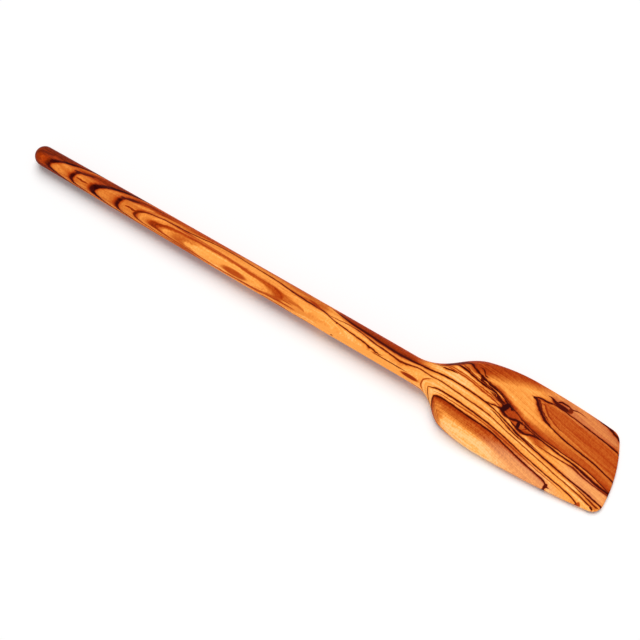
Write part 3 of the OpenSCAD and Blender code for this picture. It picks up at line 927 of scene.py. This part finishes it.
class PADDLE_OT_carve(bpy.types.Operator):
    """Carve the paddle and give it its olive wood"""

    bl_idname = "paddle.carve"
    bl_label = "Carve paddle"

    def execute(self, context):
        form = Form(context.scene.paddle_sizes)
        bm = carve(form)
        mesh = bpy.data.meshes.new("carved_paddle")
        bm.to_mesh(mesh)
        bm.free()
        for face in mesh.polygons:
            face.use_smooth = True
        piece = bpy.data.objects.new("carved_paddle", mesh)
        context.scene.collection.objects.link(piece)
        mesh.materials.append(olive_wood(context.scene.paddle_wood))
        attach(piece, "root")
        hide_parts("paddle")
        return {"FINISHED"}


def seen_directly(tree):
    """1 for what the camera sees, straight or in gloss or glass, and 0 for light that spreads."""
    path = add(tree, "ShaderNodeLightPath").outputs
    seen = add(tree, "ShaderNodeMath", {0: path["Is Camera Ray"], 1: path["Is Glossy Ray"]},
               operation="ADD")
    return add(tree, "ShaderNodeMath", {0: seen.outputs[0], 1: path["Is Transmission Ray"]},
               operation="ADD", use_clamp=True).outputs[0]


def hang_sun(scene, name, strength, disc, side, height):
    """Hangs a soft sun, with its disc and its height over the floor in degrees, on a side."""
    lamp = bpy.data.lights.new(name, "SUN")
    lamp.energy = strength
    lamp.angle = math.radians(disc)
    sun = bpy.data.objects.new(name, lamp)
    scene.collection.objects.link(sun)
    flat = Vector((*side, 0)).normalized()
    towards = Vector((0, 0, math.tan(math.radians(height)))) + flat
    sun.rotation_mode = "QUATERNION"
    sun.rotation_quaternion = towards.to_track_quat("Z", "Y")
    return sun


class PADDLE_OT_studio(bpy.types.Operator):
    """Lay the floor, set the light and place the camera"""

    bl_idname = "paddle.studio"
    bl_label = "Set up studio"

    def execute(self, context):
        scene = context.scene
        look = scene.paddle_studio
        bm = bmesh.new()
        bmesh.ops.create_grid(bm, x_segments=1, y_segments=1, size=look.floor_size)
        mesh = bpy.data.meshes.new("floor")
        bm.to_mesh(mesh)
        bm.free()
        floor = bpy.data.objects.new("floor", mesh)
        scene.collection.objects.link(floor)
        # Matt white paper: it shows the shadow and no gloss
        paper = bpy.data.materials.new("white_paper_floor")
        paper.use_nodes = True
        tree = paper.node_tree
        tree.nodes.clear()
        out = add(tree, "ShaderNodeOutputMaterial")
        matt = add(tree, "ShaderNodeBsdfDiffuse", {"Color": linear(look.floor)})
        glow = add(tree, "ShaderNodeEmission", {"Color": (1, 1, 1, 1), "Strength": look.glow})
        both = add(tree, "ShaderNodeAddShader", {0: matt.outputs[0], 1: glow.outputs[0]})
        seen = add(tree, "ShaderNodeMixShader", {
            0: seen_directly(tree), 1: matt.outputs[0], 2: both.outputs[0]})
        tree.links.new(seen.outputs[0], out.inputs["Surface"])
        mesh.materials.append(paper)

        world = bpy.data.worlds.new("studio")
        scene.world = world
        world.use_nodes = True
        tree = world.node_tree
        tree.nodes.clear()
        out = add(tree, "ShaderNodeOutputWorld")
        sky = add(tree, "ShaderNodeBackground", {"Color": (1, 1, 1, 1), "Strength": look.sky})
        white = add(tree, "ShaderNodeBackground", {"Color": (1, 1, 1, 1), "Strength": 1.0})
        seen = add(tree, "ShaderNodeMixShader", {
            0: seen_directly(tree), 1: sky.outputs[0], 2: white.outputs[0]})
        tree.links.new(seen.outputs[0], out.inputs["Surface"])

        hang_sun(scene, "soft_key", look.sun, disc=50, side=(-0.52, 0.85), height=60)
        fill = hang_sun(scene, "low_fill", look.fill, disc=60, side=(0.3, -0.95), height=15)
        # The low light leaves the floor alone, so that the key's shadow stays deep beside the paddle
        spared = bpy.data.collections.new("spared_by_low_fill")
        spared.objects.link(floor)
        spared.collection_objects[0].light_linking.link_state = "EXCLUDE"
        fill.light_linking.receiver_collection = spared

        data = bpy.data.cameras.new("camera")
        data.lens = look.camera_lens
        camera = bpy.data.objects.new("camera", data)
        scene.collection.objects.link(camera)
        place = Vector(look.camera_place)
        camera.location = place
        camera.rotation_mode = "QUATERNION"
        camera.rotation_quaternion = (Vector(look.camera_target) - place).to_track_quat("-Z", "Y")
        scene.camera = camera
        scene.view_settings.view_transform = "Standard"
        return {"FINISHED"}


class PADDLE_PT_panel(bpy.types.Panel):
    """Lists the steps that build the paddle"""

    bl_label = "Stirring paddle"
    bl_idname = "PADDLE_PT_panel"
    bl_space_type = "VIEW_3D"
    bl_region_type = "UI"
    bl_category = "Paddle"

    def draw(self, context):
        for operator in (PADDLE_OT_carve, PADDLE_OT_studio):
            self.layout.operator(operator.bl_idname)


CLASSES = (PaddleSizes, PaddleWood, StudioLook, PADDLE_OT_carve, PADDLE_OT_studio, PADDLE_PT_panel)
GROUPS = {"paddle_sizes": PaddleSizes, "paddle_wood": PaddleWood, "paddle_studio": StudioLook}


def register():
    for cls in CLASSES:
        bpy.utils.register_class(cls)
    for name, group in GROUPS.items():
        setattr(bpy.types.Scene, name, PointerProperty(type=group))


def unregister():
    for name in GROUPS:
        delattr(bpy.types.Scene, name)
    for cls in reversed(CLASSES):
        bpy.utils.unregister_class(cls)


def main():
    register()
    bpy.ops.paddle.studio()
    bpy.ops.paddle.carve()


if __name__ == "__main__":
    main()
